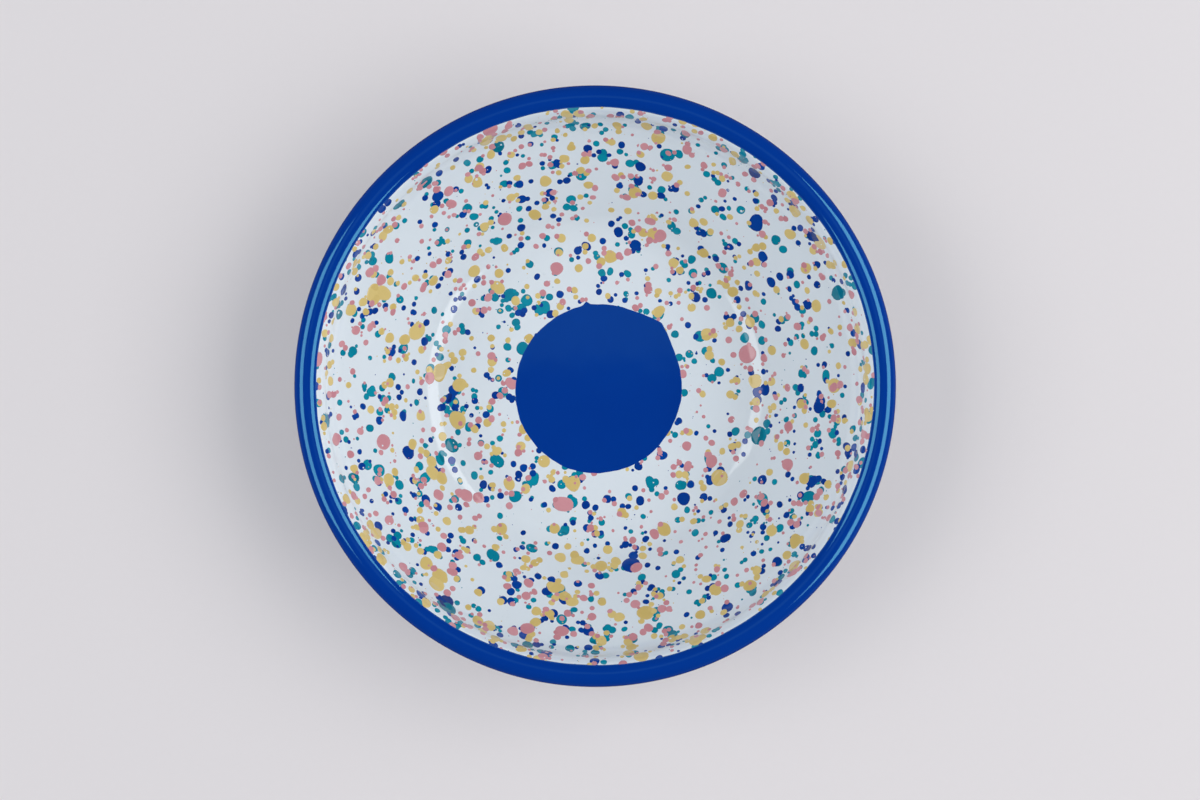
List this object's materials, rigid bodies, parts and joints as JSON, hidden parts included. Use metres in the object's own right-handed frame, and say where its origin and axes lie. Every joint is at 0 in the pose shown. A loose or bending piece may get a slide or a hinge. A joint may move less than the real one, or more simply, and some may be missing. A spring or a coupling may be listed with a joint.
{
  "type": "salad bowl",
  "caption": "Wide shallow salad bowl of enamelled pressed steel with a rolled blue rim, a flat floor with a round blue spot and a white splattered lining.",
  "frame": {"origin": "centre of the flat underside, on the bowl's axis, where it rests on the table", "axes": "+Z up along the bowl's axis; +X and +Y lie in the table plane, +Y is up in the picture"},
  "size_m": [0.28, 0.28, 0.06],
  "materials": {
    "steel": "pressed sheet steel, hidden under the enamel",
    "white_enamel": "glossy bluish white vitreous enamel, splattered with yellow, pink, teal and blue drops",
    "outside_enamel": "glossy bluish white vitreous enamel",
    "blue_enamel": "glossy deep blue vitreous enamel"
  },
  "bodies": {
    "root": {"steel_shell": "steel", "inside_enamel": "white_enamel", "outside_enamel": "outside_enamel", "rim_enamel": "blue_enamel", "centre_spot": "blue_enamel"}
  },
  "joints": []
}
